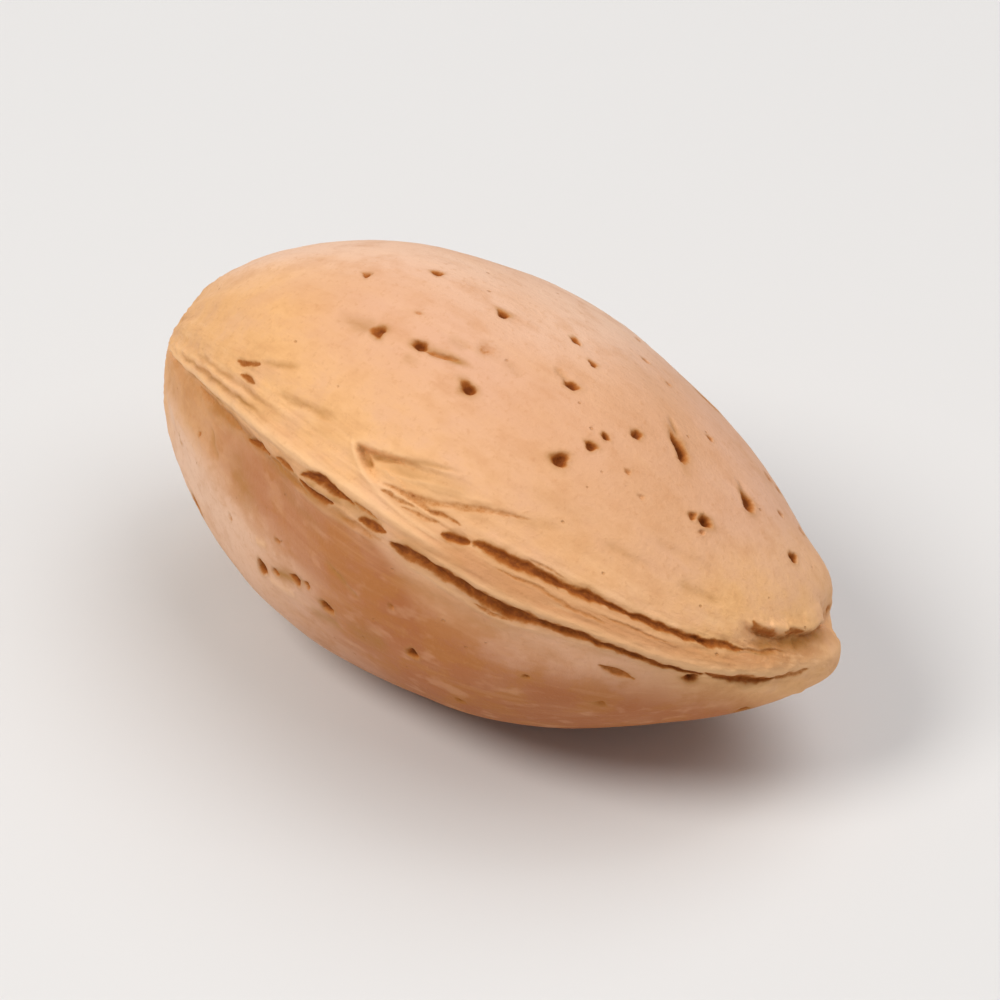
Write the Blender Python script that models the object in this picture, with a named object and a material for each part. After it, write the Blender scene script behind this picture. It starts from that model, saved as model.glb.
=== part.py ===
"""An almond in its closed shell, lying on its lower cheek: one solid, grown as one piece.

Metres, +Z up. The origin is on the floor under the middle of the nut. +X runs from the
stem end to the tip, and -Y is the side of the keel, the raised seam along the nut's edge.
"""

import math
import random

import bmesh
import bpy
import numpy as np
from mathutils import Matrix, Vector

MM = 0.001

# Driving dimensions of the body, in millimetres
LENGTH = 35.0
KEEL_HALF_WIDTH = 11.0  # from the long axis to the keel
BACK_HALF_WIDTH = 11.3  # from the long axis to the rounder back edge
UPPER_CHEEK = 9.25
LOWER_CHEEK = 9.05
MEAN_HALF_WIDTH = 9.5  # gives a place's distance from the long axis, near either end

# How each of those changes towards the tip: shares of it by u, u squared and u cubed
KEEL_TAPER = (0.20, -0.05, 0.07)
BACK_TAPER = (-0.24, -0.12, -0.04)
UPPER_TAPER = (-0.10, -0.11)
LOWER_TAPER = (-0.17, -0.19)
TIP_SHARPNESS = 0.10  # share by which the body narrows more at the tip

KEEL_LENS = 0.23  # how much the cheeks flatten towards the keel
BACK_LENS = 0.09
BELLY_SHIFT = -2.7  # the lower cheek's deepest line lies this far towards the keel
KEEL_LIFT = (2.0, -0.9)  # height of the keel over the middle plane, and its change to the tip
AXIS_BEND = (0.5, 0.3, -0.2)  # sideways by u squared and u cubed, and up by u squared

# The keel: a raised band with a broken groove along either side, both placed round from the
# widest line. Each course is its place at the stem, at the tip, and where it changes from and to
LOWER_GROOVE_AT = (0.05, 0.42, 0.0, 9.0)
UPPER_GROOVE_AT = (2.10, 1.45, 9.0, 15.5)
BAND_HEIGHT = 0.30
BAND_CREST = 0.4  # share of the way from the lower groove to the upper one
BAND_SPREAD = 0.5  # share of the distance between them
BAND_RISE = (-16.5, -8.0)  # along the nut
GROOVE_WIDTH = 0.30
LOWER_GROOVE_DEPTH = 0.50
UPPER_GROOVE_DEPTH = 0.42
LOWER_SLITS = ((-7.9, -6.5), (-5.7, -4.5), (-4.1, -1.3), (-0.5, 1.1), (1.6, 15.2))  # along
UPPER_SLITS = ((-2.2, -0.6), (2.2, 3.4), (4.0, 4.8), (5.3, 15.2))
SLIT_EASE = 0.7  # length over which a slit ends

# The seam down the back edge
BACK_SEAM_WIDTH = 0.45
BACK_SEAM_DEPTH = 0.22
BACK_SEAM_END = (13.0, 15.5)  # it fades out between these, towards the tip and the stem alike
BACK_SLITS = ((-11.0, -8.2), (-5.5, -3.9), (1.0, 4.4), (8.0, 9.6))
BACK_SLIT_DEPTH = 0.35

# Stem end: a shallow scar with a rim, and wandering flutes that fan out from it
SCAR_RADIUS = 1.7
SCAR_SPREAD = 0.75  # share of that radius
SCAR_DEPTH = 0.75
SCAR_RIM = 0.16
SCAR_RIM_WIDTH = 0.5
FLUTE_COUNT = 17
FLUTE_DEPTH = 0.11
FLUTE_REACH = 6.5
FLUTE_START = (1.5, 3.0)  # from the axis
FLUTE_WANDER = (0.8, 3.0)  # size, and turns round
FLUTE_SUNK = 0.6

# Tip: a small nose where the keel's band ends, set back inside the lips of both cheeks. Each
# lip is its distance from the axis, its height, and the degrees round from which and to which
NOSE_RADIUS = 1.7
NOSE_HEIGHT = 0.75
UPPER_LIP = (3.0, 0.32, 38.0, 145.0)
LOWER_LIP = (2.7, 0.22, -160.0, -20.0)
LIP_EDGE = (-0.15, 0.25)  # the step down from the lip, about its radius
LIP_EASE = 12.0  # degrees over which a lip ends
LIP_CRACK_WIDTH = 0.30
LIP_CRACK_DEPTH = 0.30
TIP_END = 17.8  # the nose is worn off flat here

# Gentle unevenness of the whole shell: height, turns along the length, turns round, start
SWELLS = ((0.10, 1.1, 2.0, 0.4), (0.07, 2.3, -3.0, 1.9), (0.05, 3.1, 5.0, 4.0))

# The way it lies
KEEL_RAISED = 14.5  # degrees, about the long axis
TIP_LOWERED = 5.5
FLAT_DEPTH = 0.14  # what the flat resting spot takes off the lower cheek

# The pits of the keel's side: along the length, degrees round, length, width, depth, turn
KEEL_SIDE_PITS = (
    (6.1, 54, 0.95, 0.80, 0.50, 0.0),
    (-4.9, 55, 1.30, 0.55, 0.42, 0.0),
    (-1.4, 57, 2.40, 0.42, 0.38, 0.1),
    (0.9, 54.3, 0.90, 0.60, 0.42, -0.2),
    (4.2, 72, 0.85, 0.55, 0.40, 0.1),
    (12.0, 71, 0.85, 0.65, 0.45, 0.2),
    (9.0, 83, 2.00, 0.50, 0.40, -0.5),
    (12.0, 91, 1.10, 0.45, 0.38, -0.4),
    (-9.4, 25.5, 1.20, 0.42, 0.35, 0.2),
    (-9.2, 18, 0.80, 0.40, 0.30, 0.0),
    (-0.6, 79.5, 0.75, 0.50, 0.35, -0.2),
    (6.75, 63.5, 0.55, 0.45, 0.28, 0.0),
    (6.75, 69.5, 0.50, 0.45, 0.28, 0.0),
    (7.5, 75.5, 0.55, 0.45, 0.30, 0.0),
    (14.7, 101, 0.60, 0.50, 0.32, 0.0),
    (3.95, 83.3, 0.75, 0.42, 0.28, -0.3),
    (-4.7, 81.3, 0.60, 0.42, 0.25, 0.1),
    (-7.3, 70, 0.50, 0.40, 0.22, 0.0),
    (-5.9, -44, 1.20, 0.65, 0.42, 0.3),
    (-2.75, -40, 0.90, 0.60, 0.40, 0.2),
    (4.3, -46, 0.70, 0.50, 0.32, 0.0),
    (12.4, -19, 1.50, 0.42, 0.36, -0.2),
    (14.9, -14, 0.70, 0.40, 0.28, 0.0),
)

# Small pits over the far side
SMALL_PITS = 32
SMALL_PIT_ALONG = (-0.86, 0.93)  # by u
SMALL_PIT_ROUND = (114.0, 302.0)  # degrees
SMALL_PIT_LENGTH = (0.55, 1.25)
SMALL_PIT_WIDTH = (0.50, 0.85)  # share of the length
SMALL_PIT_DEPTH = 0.42  # share of the length
SMALL_PIT_TURN = 0.5  # radians either way from the long axis
SMALL_PIT_GAP = 2.3  # at least this far between the middles of any two
SMOOTH_BACK = 9.0  # no small pits within so many degrees of the back edge
SMOOTH_SPOT = 4.5  # nor this near the resting spot, in millimetres
PIT_SEED = 11

# Mesh
MERIDIANS = 56
RINGS = 54
CROWD_EDGES = 0.24  # meridians move towards both edges
CROWD_KEEL = 0.26  # and again towards the keel
PIT_MERIDIANS = 8
PIT_RINGS = 5
NORMAL_STEP = 1e-3  # of u and of the angle
POLE_LIMIT = 0.9995  # normals are taken no nearer to the ends than this u
FAR_AWAY = 100.0  # millimetres, past the reach of any relief

SHELL_COLOUR = (0.80, 0.50, 0.29, 1.0)
SHELL_ROUGHNESS = 0.62
SHARP_FROM = 40.0  # degrees between faces


def clear_scene():
    for thing in list(bpy.data.objects):
        bpy.data.objects.remove(thing)


def smooth_step(value, start, end):
    share = np.clip((value - start) / (end - start), 0.0, 1.0)
    return share * share * (3.0 - 2.0 * share)


def bump(offset, width):
    return np.exp(-((offset / width) ** 2))


def taper(u, shares):
    return 1.0 + sum(share * u ** (power + 1) for power, share in enumerate(shares))


def body_point(u, angle):
    """Smooth body, with u from -1 at the stem to 1 at the tip and the angle round from the keel."""
    across, up = np.cos(angle), np.sin(angle)
    fullness = np.sqrt(np.maximum(0.0, 1.0 - u * u)) * (1.0 - TIP_SHARPNESS * np.maximum(0.0, u) ** 3)
    keel_side = across > 0.0
    half_width = np.where(
        keel_side,
        KEEL_HALF_WIDTH * taper(u, KEEL_TAPER),
        BACK_HALF_WIDTH * taper(u, BACK_TAPER),
    )
    cheek = np.where(
        up > 0.0,
        UPPER_CHEEK * taper(u, UPPER_TAPER),
        LOWER_CHEEK * taper(u, LOWER_TAPER),
    )
    lens = 1.0 - np.where(keel_side, KEEL_LENS, BACK_LENS) * across * across
    keel_share = (0.5 + 0.5 * across) ** 2
    belly = np.maximum(0.0, -up) ** 2
    x = LENGTH / 2.0 * u
    y = fullness * (BELLY_SHIFT * belly - half_width * across)
    y = y + AXIS_BEND[0] * u * u + AXIS_BEND[1] * u**3
    z = fullness * (cheek * up * lens + (KEEL_LIFT[0] + KEEL_LIFT[1] * u) * keel_share)
    z = z + AXIS_BEND[2] * u * u
    return np.stack([x, y, z], axis=-1)


def slits(x, spans):
    """1 inside the spans along the length, 0 outside them."""
    found = 0.0
    half = SLIT_EASE / 2.0
    for start, end in spans:
        span = smooth_step(x, start - half, start + half) * smooth_step(-x, -end - half, -end + half)
        found = np.maximum(found, span)
    return found


def groove_line(x, course):
    at_stem, at_tip, start, end = course
    return at_stem + (at_tip - at_stem) * smooth_step(x, start, end)


def keel_relief(x, from_keel):
    """The raised band on the keel and a groove on either side of it."""
    lower_line = groove_line(x, LOWER_GROOVE_AT)
    upper_line = groove_line(x, UPPER_GROOVE_AT)
    between = upper_line - lower_line
    band = BAND_HEIGHT * bump(from_keel - lower_line - BAND_CREST * between, BAND_SPREAD * between)
    lower = LOWER_GROOVE_DEPTH * bump(from_keel - lower_line, GROOVE_WIDTH) * slits(x, LOWER_SLITS)
    upper = UPPER_GROOVE_DEPTH * bump(from_keel - upper_line, GROOVE_WIDTH) * slits(x, UPPER_SLITS)
    return band * smooth_step(x, *BAND_RISE) - lower - upper


def back_relief(x, from_back):
    ends_near, ends_far = BACK_SEAM_END
    seam = BACK_SEAM_DEPTH * (1.0 - smooth_step(np.abs(x), ends_near, ends_far))
    return -(seam + BACK_SLIT_DEPTH * slits(x, BACK_SLITS)) * bump(from_back, BACK_SEAM_WIDTH)


def stem_relief(x, angle, from_axis):
    """The scar where the stem came off, its rim, and the flutes round it."""
    scar = SCAR_DEPTH * bump(from_axis, SCAR_SPREAD * SCAR_RADIUS)
    rim = SCAR_RIM * bump(from_axis - SCAR_RADIUS, SCAR_RIM_WIDTH)
    wander, turns = FLUTE_WANDER
    flutes = np.sin(FLUTE_COUNT * angle + wander * np.sin(turns * angle)) - FLUTE_SUNK
    reach = bump(x + LENGTH / 2.0, FLUTE_REACH) * smooth_step(from_axis, *FLUTE_START)
    return np.where(x < 0.0, rim - scar + FLUTE_DEPTH * flutes * reach, 0.0)


def lip_relief(angle, from_axis, lip):
    """What lies inside a lip: the step down from it, and the crack along its edge."""
    radius, height, start, end = lip
    degrees = np.degrees(angle)
    facing = smooth_step(degrees, start, start + LIP_EASE) * smooth_step(-degrees, -end, -end + LIP_EASE)
    step = height * smooth_step(radius - from_axis, *LIP_EDGE)
    crack = LIP_CRACK_DEPTH * bump(from_axis - radius, LIP_CRACK_WIDTH)
    return -facing * (step + crack)


def tip_relief(x, angle, from_axis):
    """The nose, and the lips of the two cheeks round it."""
    nose = NOSE_HEIGHT * bump(from_axis, NOSE_RADIUS)
    lips = lip_relief(angle, from_axis, UPPER_LIP) + lip_relief(angle, from_axis, LOWER_LIP)
    return np.where(x > 0.0, nose + lips, 0.0)


def swell_relief(u, angle, fullness):
    return fullness * sum(
        height * np.sin(math.pi * along * u + round_it * angle + start)
        for height, along, round_it, start in SWELLS
    )


def relief(u, angle):
    """Height of the raised and sunk detail over the smooth body."""
    x = LENGTH / 2.0 * u
    fullness = np.sqrt(np.maximum(0.0, 1.0 - u * u))
    from_axis = MEAN_HALF_WIDTH * fullness
    edge_radius = UPPER_CHEEK * (1.0 - KEEL_LENS)
    from_keel = np.where(np.abs(angle) < math.pi / 2.0, edge_radius * fullness * angle, FAR_AWAY)
    from_back = UPPER_CHEEK * fullness * (math.pi - np.abs(angle))
    return (
        keel_relief(x, from_keel)
        + back_relief(x, from_back)
        + stem_relief(x, angle, from_axis)
        + tip_relief(x, angle, from_axis)
        + swell_relief(u, angle, fullness)
    )


def outward(u, angle):
    """Unit normal of the smooth body, from two short steps over it."""
    u = np.clip(u, -POLE_LIMIT, POLE_LIMIT)
    half = NORMAL_STEP / 2.0
    along = body_point(np.minimum(u + half, 1.0), angle) - body_point(np.maximum(u - half, -1.0), angle)
    round_it = body_point(u, angle + half) - body_point(u, angle - half)
    normal = np.cross(along, round_it)
    return normal / np.linalg.norm(normal, axis=-1, keepdims=True)


def shell_point(u, angle):
    """Finished surface before the pits, and before it is laid down."""
    point = body_point(u, angle) + outward(u, angle) * relief(u, angle)[..., None]
    point[..., 0] = np.minimum(point[..., 0], TIP_END)
    return point


def resting_turn():
    raised = Matrix.Rotation(math.radians(-KEEL_RAISED), 4, "X")
    lowered = Matrix.Rotation(math.radians(TIP_LOWERED), 4, "Y")
    return lowered @ raised


def make_body():
    """The body from a sphere whose poles are the stem end and the tip."""
    shape = bmesh.new()
    bmesh.ops.create_uvsphere(shape, u_segments=MERIDIANS, v_segments=RINGS, radius=1.0)
    for vertex in shape.verts:
        u = max(-1.0, min(1.0, vertex.co.z))
        angle = math.atan2(vertex.co.y, vertex.co.x)
        angle = angle - CROWD_KEEL * math.sin(angle) - CROWD_EDGES * math.sin(2.0 * angle)
        vertex.co = Vector(shell_point(np.array(u), np.array(angle)))
    bmesh.ops.recalc_face_normals(shape, faces=shape.faces)
    shape.transform(resting_turn())
    return shape


def lay_down(shape):
    """Cuts the flat resting spot, and returns the move that puts it on the floor."""
    lowest = min(vertex.co.z for vertex in shape.verts) + FLAT_DEPTH
    cut = bmesh.ops.bisect_plane(
        shape,
        geom=shape.verts[:] + shape.edges[:] + shape.faces[:],
        dist=1e-5,
        plane_co=(0.0, 0.0, lowest),
        plane_no=(0.0, 0.0, -1.0),
        clear_outer=True,
    )
    rim = [part for part in cut["geom_cut"] if isinstance(part, bmesh.types.BMEdge)]
    bmesh.ops.contextual_create(shape, geom=rim)
    low = [min(vertex.co[axis] for vertex in shape.verts) for axis in range(3)]
    high = [max(vertex.co[axis] for vertex in shape.verts) for axis in range(3)]
    move = Vector((-(low[0] + high[0]) / 2.0, -(low[1] + high[1]) / 2.0, -lowest))
    return Matrix.Translation(move)


def pit_frame(u, angle, turn):
    """Where a pit at this place is sunk in: turned with the shell, its length along the nut."""
    centre = Vector(body_point(np.array(u), np.array(angle)))
    normal = Vector(outward(np.array(u), np.array(angle)))
    ahead = Vector(body_point(np.array(u + 0.01), np.array(angle)))
    along = Matrix.Rotation(turn, 3, normal) @ (ahead - centre).normalized()
    side = normal.cross(along).normalized()
    return Matrix.Translation(centre) @ Matrix((along, side, normal)).transposed().to_4x4()


def small_pit_places(chooser, taken):
    """Draws the small pits as (u, angle), clear of the places taken and of the smooth areas."""
    resting_spot = resting_turn().inverted() @ Vector((0.0, 0.0, -LOWER_CHEEK))
    taken = list(taken)
    places = []
    while len(places) < SMALL_PITS:
        u = chooser.uniform(*SMALL_PIT_ALONG)
        degrees = chooser.uniform(*SMALL_PIT_ROUND)
        here = Vector(body_point(np.array(u), np.array(math.radians(degrees))))
        near_back = abs(degrees - 180.0) < SMOOTH_BACK
        near_spot = (here - resting_spot).length < SMOOTH_SPOT
        crowded = any((here - other).length < SMALL_PIT_GAP for other in taken)
        if near_back or near_spot or crowded:
            continue
        taken.append(here)
        places.append((u, math.radians(degrees)))
    return places


def pit_places():
    """Every pit as its frame and its length, width and depth."""
    places = []
    for x, degrees, length, width, depth, turn in KEEL_SIDE_PITS:
        frame = pit_frame(x / (LENGTH / 2.0), math.radians(degrees), turn)
        places.append((frame, length, width, depth))
    chooser = random.Random(PIT_SEED)
    for u, angle in small_pit_places(chooser, [frame.translation for frame, *_ in places]):
        length = chooser.uniform(*SMALL_PIT_LENGTH)
        width = length * chooser.uniform(*SMALL_PIT_WIDTH)
        turn = chooser.uniform(-SMALL_PIT_TURN, SMALL_PIT_TURN)
        places.append((pit_frame(u, angle, turn), length, width, length * SMALL_PIT_DEPTH))
    return places


def make_pit_cutters():
    """Small ellipsoids sunk into the surface, all in one mesh."""
    cutters = bmesh.new()
    for frame, length, width, depth in pit_places():
        bmesh.ops.create_uvsphere(
            cutters,
            u_segments=PIT_MERIDIANS,
            v_segments=PIT_RINGS,
            radius=1.0,
            matrix=frame @ Matrix.Diagonal((length / 2.0, width / 2.0, depth, 1.0)),
        )
    bmesh.ops.recalc_face_normals(cutters, faces=cutters.faces)
    cutters.transform(resting_turn())
    return cutters


def add_object(name, shape, collection):
    mesh = bpy.data.meshes.new(name)
    shape.to_mesh(mesh)
    shape.free()
    thing = bpy.data.objects.new(name, mesh)
    collection.objects.link(thing)
    return thing


def shell_material():
    material = bpy.data.materials.new("almond_shell")
    material.use_nodes = True
    shader = material.node_tree.nodes["Principled BSDF"]
    shader.inputs["Base Color"].default_value = SHELL_COLOUR
    shader.inputs["Roughness"].default_value = SHELL_ROUGHNESS
    shader.inputs["Metallic"].default_value = 0.0
    return material


def add_collection(name):
    collection = bpy.data.collections.new(name)
    bpy.context.scene.collection.children.link(collection)
    return collection


def main():
    clear_scene()
    almond = add_collection("almond")
    cutter_collection = add_collection("almond_cutters")

    body = make_body()
    to_floor = Matrix.Scale(MM, 4) @ lay_down(body)
    body.transform(to_floor)
    shell = add_object("almond_shell", body, almond)
    shell.data.materials.append(shell_material())

    pits = make_pit_cutters()
    pits.transform(to_floor)
    pit_cutter = add_object("pit_cutters", pits, cutter_collection)
    pit_cutter.hide_render = True
    pit_cutter.display_type = "WIRE"

    cut = shell.modifiers.new("pits", "BOOLEAN")
    cut.operation = "DIFFERENCE"
    cut.object = pit_cutter
    shell.data.shade_smooth()
    shell.data.set_sharp_from_angle(angle=math.radians(SHARP_FROM))


main()
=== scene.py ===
import math
import random

import bmesh
import bpy
import numpy as np
from mathutils import Matrix, Vector, kdtree, noise


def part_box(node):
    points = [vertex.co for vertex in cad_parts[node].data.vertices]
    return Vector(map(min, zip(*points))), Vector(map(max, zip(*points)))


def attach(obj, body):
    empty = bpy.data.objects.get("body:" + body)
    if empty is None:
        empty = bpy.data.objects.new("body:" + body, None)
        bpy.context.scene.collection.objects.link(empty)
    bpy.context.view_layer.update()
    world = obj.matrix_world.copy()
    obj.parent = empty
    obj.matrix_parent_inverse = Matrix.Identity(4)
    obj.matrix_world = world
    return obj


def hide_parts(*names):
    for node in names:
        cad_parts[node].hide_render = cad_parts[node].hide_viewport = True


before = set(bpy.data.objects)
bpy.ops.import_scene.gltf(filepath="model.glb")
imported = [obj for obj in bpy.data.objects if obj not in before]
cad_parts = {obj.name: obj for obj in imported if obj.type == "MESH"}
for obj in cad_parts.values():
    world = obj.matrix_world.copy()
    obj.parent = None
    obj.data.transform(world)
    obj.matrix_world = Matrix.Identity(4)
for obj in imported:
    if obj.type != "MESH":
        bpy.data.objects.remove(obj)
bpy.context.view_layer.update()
print("frame loaded:", sorted(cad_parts))

mm = 0.001

# The nut's form, in millimetres, the same as the solid's. x runs from the stem end to the tip,
# and the angle goes round from the keel, over the upper cheek, to the back edge.
form = {
    "length": 35.0,
    "keelHalfWidth": 11.0,  # from the long axis to the keel
    "backHalfWidth": 11.3,
    "upperCheek": 9.25,
    "lowerCheek": 9.05,
    "meanHalfWidth": 9.5,
    "keelTaper": (0.20, -0.05, 0.07),  # shares of each by u, u squared and u cubed
    "backTaper": (-0.24, -0.12, -0.04),
    "upperTaper": (-0.10, -0.11),
    "lowerTaper": (-0.17, -0.19),
    "tipSharpness": 0.10,
    "keelLens": 0.23,  # how much the cheeks flatten towards the keel
    "backLens": 0.09,
    "bellyShift": -2.7,
    "keelLift": (2.0, -0.9),
    "axisBend": (0.5, 0.3, -0.2),
    "swells": ((0.10, 1.1, 2.0, 0.4), (0.07, 2.3, -3.0, 1.9), (0.05, 3.1, 5.0, 4.0)),
    "keelRaised": 14.5,  # degrees, about the long axis, the way it lies
    "tipLowered": 5.5,
    "flatDepth": 0.14,
    "normalStep": 1e-3,
    "poleLimit": 0.9995,
    "tipEnd": 17.8,
}

halfLength = form["length"] / 2


def smoothStep(value, start, end):
    share = np.clip((value - start) / (end - start), 0.0, 1.0)
    return share * share * (3 - 2 * share)


def bump(offset, width):
    return np.exp(-((offset / width) ** 2))


def taper(u, shares):
    return 1 + sum(share * u ** (power + 1) for power, share in enumerate(shares))


def fullnessAt(u):
    return np.sqrt(np.maximum(0.0, 1 - u * u))


def bodyPoint(u, angle):  # smooth body, before any relief
    across, up = np.cos(angle), np.sin(angle)
    fullness = fullnessAt(u) * (1 - form["tipSharpness"] * np.maximum(0.0, u) ** 3)
    keelSide = across > 0
    halfWidth = np.where(
        keelSide,
        form["keelHalfWidth"] * taper(u, form["keelTaper"]),
        form["backHalfWidth"] * taper(u, form["backTaper"]),
    )
    cheek = np.where(
        up > 0,
        form["upperCheek"] * taper(u, form["upperTaper"]),
        form["lowerCheek"] * taper(u, form["lowerTaper"]),
    )
    lens = 1 - np.where(keelSide, form["keelLens"], form["backLens"]) * across * across
    keelShare = (0.5 + 0.5 * across) ** 2
    belly = np.maximum(0.0, -up) ** 2
    lift, liftChange = form["keelLift"]
    sideways, sidewaysMore, upwards = form["axisBend"]
    y = fullness * (form["bellyShift"] * belly - halfWidth * across) + sideways * u * u + sidewaysMore * u**3
    z = fullness * (cheek * up * lens + (lift + liftChange * u) * keelShare) + upwards * u * u
    return np.stack([halfLength * u, y, z], axis=-1)


def outward(u, angle):  # unit normal of the smooth body
    u = np.clip(u, -form["poleLimit"], form["poleLimit"])
    half = form["normalStep"] / 2
    along = bodyPoint(np.minimum(u + half, 1.0), angle) - bodyPoint(np.maximum(u - half, -1.0), angle)
    around = bodyPoint(u, angle + half) - bodyPoint(u, angle - half)
    normal = np.cross(along, around)
    return normal / np.linalg.norm(normal, axis=-1, keepdims=True)


def placeAt(x, degrees):  # places on the smooth body, by millimetres along and degrees round
    return bodyPoint(np.asarray(x) / halfLength, np.radians(degrees))


# The keel: a raised band between the lines of its two grooves
keel = {
    "lowerEdge": (0.05, -0.08, 6.0, 15.0),  # mm round from the widest line: at the stem, at the tip, from, to
    "upperEdge": (2.10, 1.30, 9.0, 15.5),
    "bandHeight": 0.34,
    "bandCrest": 0.4,
    "bandSpread": 0.5,
    "bandRise": (-16.5, -8.0),
    "bandEnd": (1.6, 3.4),  # mm from the long axis, at the tip, where the band gives way to the nose
    "fibreHeight": 0.060,
    "fibreReach": (2.4, 1.2),  # mm from the middle of the band, above and below
}

# The seam down the back edge
back = {
    "seamWidth": 0.40,
    "seamUneven": (0.8, 0.3),
    "seamDepth": 0.20,
    "seamBrown": 0.35,
    "seamEnd": (13.0, 15.5),
    "wander": 0.16,
}

# Stem end: a scar with a rim, and flutes that fan out from it
stem = {
    "scarRadius": 1.7,
    "scarSpread": 0.75,
    "scarDepth": 0.75,
    "scarShade": 0.8,
    "rimHeight": 0.16,
    "rimWidth": 0.5,
    "rimWander": 0.2,
    "fluteCount": 17,
    "fluteDepth": 0.08,
    "fluteReach": 5.5,
    "fluteStart": (1.5, 3.0),
    "fluteWander": (0.8, 3.0),
    "fluteTwist": 0.05,
    "fluteSunk": 0.6,
    "fibreCount": 61,  # finer flutes between them
    "fibreDepth": 0.025,
    "fibreWander": (3, 2),
}

# Tip: a blunt nose where the band ends, under the full end of the upper cheek
tip = {
    "noseHeight": 0.42,
    "noseWidth": 1.8,
    "noseThickness": 1.0,
    "noseUp": 0.10,
    "shoulder": (15.2, 126.0),
    "shoulderHeight": 0.34,
    "shoulderSpread": 1.5,
}


def edgeLine(x, course):
    atStem, atTip, start, end = course
    return atStem + (atTip - atStem) * smoothStep(x, start, end)


# The skin's own unevenness: how fine each noise is along, across and up, per mm, its seed, its octaves
skin = {
    "wear": ((0.9, 1.6, 1.6), 1, 2),
    "dimples": ((0.22, 0.30, 0.30), 2, 2),
    "puckers": ((0.55, 0.9, 0.9), 3, 2),
    "fibres": ((0.16, 1.7, 1.7), 4, 3),
    "stray": ((0.9, 1.8, 1.8), 6, 3),
    "seedSteps": (17.3, 5.1, 11.7),  # how far one seed's noise is from the next
    "straySteps": (13.1, 7.7, 3.9),
    "straySeed": 69,
    "finer": (0.8, 2.0),  # how much calmer and finer each octave is
    "strayFiner": {"amplitude_scale": 0.45, "frequency_scale": 2.7},
    "dimpleHeight": 0.05,  # mm
    "puckerHeight": 0.018,
    "strayHeight": 0.10,  # how far ragged edges stray
    "calmShare": 0.3,  # and strands
    "quietEnds": (0.15, 0.5),
}


def noisePlaces(points, scale, steps):
    stretch = Vector(scale)
    return [Vector(point) * stretch + Vector(steps) for point in points]


def ripple(points, scale, seed, octaves):  # smooth noise from about -1 to 1 at points in millimetres
    places = noisePlaces(points, scale, [seed * step for step in skin["seedSteps"]])
    return np.array([noise.fractal(place, *skin["finer"], octaves) for place in places])


def wander(points, scale, seed, octaves):  # the same as three numbers, for steps aside, ragged close up
    noise.seed_set(skin["straySeed"])  # unset, it starts from the clock, and no two runs are the same
    places = noisePlaces(points, scale, [seed * step for step in skin["straySteps"]])
    ragged = {"noise_basis": "PERLIN_ORIGINAL", **skin["strayFiner"]}
    return np.array([noise.turbulence_vector(place, octaves, False, **ragged) for place in places])


def keelRelief(x, fromKeel, fromAxis, fibres):
    lower = edgeLine(x, keel["lowerEdge"])
    between = edgeLine(x, keel["upperEdge"]) - lower
    fromCrest = fromKeel - lower - keel["bandCrest"] * between
    band = keel["bandHeight"] * bump(fromCrest, keel["bandSpread"] * between)
    above, below = keel["fibreReach"]
    offset = fromKeel - lower - 0.5 * between
    fibrous = keel["fibreHeight"] * fibres * bump(offset, np.where(offset > 0, above, below))
    return (band + fibrous) * smoothStep(x, *keel["bandRise"]) * smoothStep(fromAxis, *keel["bandEnd"])


def backRelief(x, fromBack, wear):  # the seam's height, and how brown it is
    seam = 1 - smoothStep(np.abs(x), *back["seamEnd"])
    least, more = back["seamUneven"]
    line = bump(fromBack + back["wander"] * wear, back["seamWidth"] * (least + more * np.abs(wear)))
    return -back["seamDepth"] * seam * line, back["seamBrown"] * seam * line


def stemRelief(x, angle, fromAxis, wear):  # the stem end's height, and where its scar is open
    scar = bump(fromAxis, stem["scarSpread"] * stem["scarRadius"])
    rim = bump(fromAxis + stem["rimWander"] * wear - stem["scarRadius"], stem["rimWidth"])
    phase = angle + stem["fluteTwist"] * wear
    size, turns = stem["fluteWander"]
    flutes = np.sin(stem["fluteCount"] * phase + size * np.sin(turns * phase)) - stem["fluteSunk"]
    size, turns = stem["fibreWander"]
    fibres = np.sin(stem["fibreCount"] * phase + size * np.sin(turns * phase))
    reach = bump(x + halfLength, stem["fluteReach"]) * smoothStep(fromAxis, *stem["fluteStart"])
    ribs = (stem["fluteDepth"] * flutes + stem["fibreDepth"] * fibres) * reach
    here = x < 0
    height = stem["rimHeight"] * rim - stem["scarDepth"] * scar + ribs
    return np.where(here, height, 0.0), np.where(here, scar, 0.0)


def tipRelief(x, points):
    pole = placeAt(halfLength, 0.0)
    sideways = bump(points[:, 1] - pole[1], tip["noseWidth"])
    upright = bump(points[:, 2] - pole[2] - tip["noseUp"], tip["noseThickness"])
    fromShoulder = np.linalg.norm(points - placeAt(*tip["shoulder"]), axis=1)
    shoulder = tip["shoulderHeight"] * bump(fromShoulder, tip["shoulderSpread"])
    return np.where(x > 0, tip["noseHeight"] * sideways * upright + shoulder, 0.0)


def swellRelief(u, angle):
    return fullnessAt(u) * sum(
        height * np.sin(math.pi * along * u + around * angle + start)
        for height, along, around, start in form["swells"]
    )


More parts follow.
